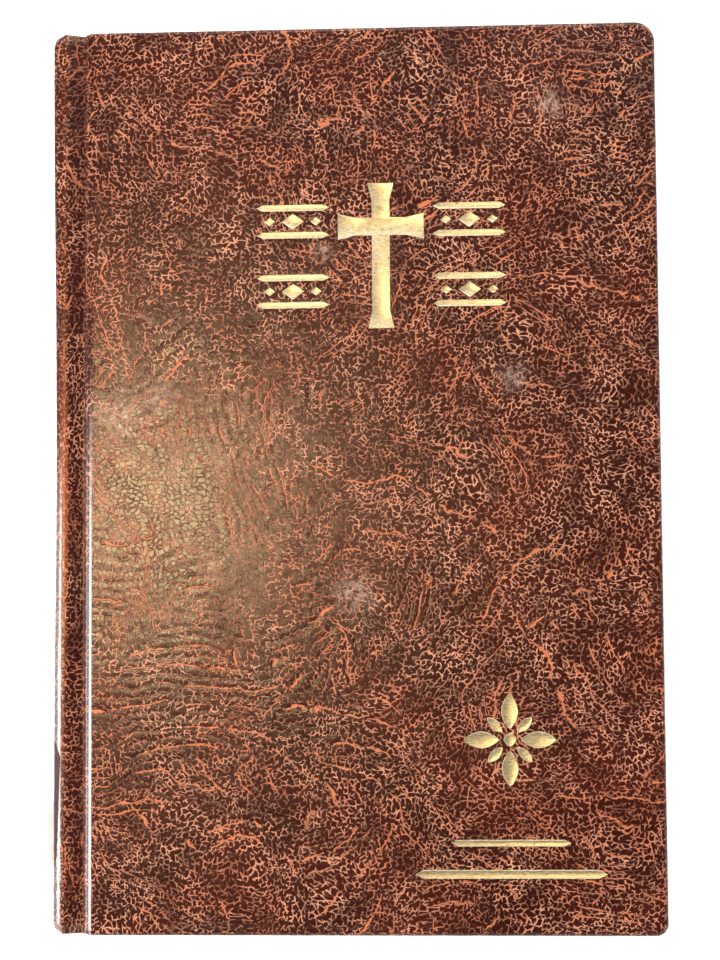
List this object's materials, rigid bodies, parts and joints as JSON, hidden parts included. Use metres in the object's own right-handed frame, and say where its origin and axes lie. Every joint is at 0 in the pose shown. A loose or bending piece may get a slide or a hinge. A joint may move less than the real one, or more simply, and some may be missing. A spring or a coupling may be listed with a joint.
{
  "type": "bible",
  "caption": "Closed case-bound bible in grained leatherette, lying on its back cover, with covers, spine and sewn page block that open.",
  "frame": {"origin": "middle of the back cover's outer face, on the surface that the book lies on", "axes": "+X from the spine to the fore edge, +Y from the tail to the head, +Z from the back cover to the front cover"},
  "size_m": [0.1411, 0.21, 0.032],
  "materials": {
    "leatherette": "satin",
    "grey_board": "matte",
    "card": "matte",
    "label_film": "matte",
    "endpaper": "matte",
    "pages": "matte",
    "mull": "matte",
    "liner_paper": "matte",
    "thread": "matte",
    "band_cloth": "satin"
  },
  "bodies": {
    "back_cover": {"back_board": "grey_board", "back_cover_skin": "leatherette", "back_pastedown": "endpaper"},
    "back_half": {"section_01": "pages", "section_02": "pages", "section_03": "pages", "section_04": "pages", "section_05": "pages", "section_06": "pages", "section_07": "pages", "section_08": "pages", "section_09": "pages", "section_10": "pages", "section_11": "pages", "section_12": "pages", "back_joint_skin": "leatherette", "back_flyleaf_edge": "endpaper"},
    "spine": {"spine_skin": "leatherette", "spine_card": "card", "spine_label": "label_film", "mull": "mull", "spine_liner": "liner_paper", "sewing_thread": "thread", "headband": "band_cloth", "tailband": "band_cloth"},
    "front_half": {"section_13": "pages", "section_14": "pages", "section_15": "pages", "section_16": "pages", "section_17": "pages", "section_18": "pages", "section_19": "pages", "section_20": "pages", "section_21": "pages", "section_22": "pages", "section_23": "pages", "section_24": "pages", "front_joint_skin": "leatherette", "front_flyleaf_edge": "endpaper"},
    "front_cover": {"front_board": "grey_board", "front_cover_skin": "leatherette", "front_pastedown": "endpaper"},
    "front_flyleaf_turn": {"front_flyleaf": "endpaper"},
    "back_flyleaf_turn": {"back_flyleaf": "endpaper"},
    "back_leaf_1_turn": {"back_leaf_1": "pages"},
    "front_leaf_1_turn": {"front_leaf_1": "pages"},
    "back_leaf_2_turn": {"back_leaf_2": "pages"},
    "front_leaf_2_turn": {"front_leaf_2": "pages"},
    "back_leaf_3_turn": {"back_leaf_3": "pages"},
    "front_leaf_3_turn": {"front_leaf_3": "pages"}
  },
  "joints": [
    {"name": "back_cover_hinge", "type": "hinge", "parent": "back_cover", "child": "back_half", "pos_m": [-0.0672, 0, 0.00335], "axis": [0, 1, 0], "range_deg": [-90, 0], "deforming": ["back_joint_skin"]},
    {"name": "spine_turn", "type": "hinge", "parent": "back_half", "child": "spine", "pos_m": [-0.0672, 0, 0.00335], "axis": [0, -1, 0], "range_deg": [0, 90]},
    {"name": "book_opening", "type": "hinge", "parent": "spine", "child": "front_half", "pos_m": [-0.0672, 0, 0.02865], "axis": [0, -1, 0], "range_deg": [0, 90]},
    {"name": "front_cover_hinge", "type": "hinge", "parent": "front_half", "child": "front_cover", "pos_m": [-0.0672, 0, 0.02865], "axis": [0, 1, 0], "range_deg": [-90, 0], "deforming": ["front_joint_skin"]},
    {"name": "front_flyleaf_fold", "type": "hinge", "parent": "front_half", "child": "front_flyleaf_turn", "pos_m": [-0.063, 0, 0.02865], "axis": [0, 1, 0], "range_deg": [-45, 0]},
    {"name": "back_flyleaf_fold", "type": "hinge", "parent": "back_half", "child": "back_flyleaf_turn", "pos_m": [-0.063, 0, 0.00335], "axis": [0, 1, 0], "range_deg": [0, 45]},
    {"name": "back_leaf_1_fold", "type": "hinge", "parent": "spine", "child": "back_leaf_1_turn", "pos_m": [-0.0672, 0, 0.00335], "axis": [0, 1, 0], "range_deg": [0, 70.2]},
    {"name": "front_leaf_1_fold", "type": "hinge", "parent": "spine", "child": "front_leaf_1_turn", "pos_m": [-0.0672, 0, 0.02865], "axis": [0, -1, 0], "range_deg": [0, 68.4]},
    {"name": "back_leaf_2_fold", "type": "hinge", "parent": "spine", "child": "back_leaf_2_turn", "pos_m": [-0.0672, 0, 0.00335], "axis": [0, 1, 0], "range_deg": [0, 81]},
    {"name": "front_leaf_2_fold", "type": "hinge", "parent": "spine", "child": "front_leaf_2_turn", "pos_m": [-0.0672, 0, 0.02865], "axis": [0, -1, 0], "range_deg": [0, 79.2]},
    {"name": "back_leaf_3_fold", "type": "hinge", "parent": "spine", "child": "back_leaf_3_turn", "pos_m": [-0.0672, 0, 0.00335], "axis": [0, 1, 0], "range_deg": [0, 87.3]},
    {"name": "front_leaf_3_fold", "type": "hinge", "parent": "spine", "child": "front_leaf_3_turn", "pos_m": [-0.0672, 0, 0.02865], "axis": [0, -1, 0], "range_deg": [0, 85.5]}
  ],
  "couplings": [
    {"joint": "spine_turn", "follows": "book_opening", "ratio": 1},
    {"joint": "front_flyleaf_fold", "follows": "front_cover_hinge", "ratio": 0.5},
    {"joint": "back_flyleaf_fold", "follows": "back_cover_hinge", "ratio": -0.5},
    {"joint": "back_leaf_1_fold", "follows": "book_opening", "ratio": 0.78},
    {"joint": "front_leaf_1_fold", "follows": "book_opening", "ratio": 0.76},
    {"joint": "back_leaf_2_fold", "follows": "book_opening", "ratio": 0.9},
    {"joint": "front_leaf_2_fold", "follows": "book_opening", "ratio": 0.88},
    {"joint": "back_leaf_3_fold", "follows": "book_opening", "ratio": 0.97},
    {"joint": "front_leaf_3_fold", "follows": "book_opening", "ratio": 0.95}
  ]
}
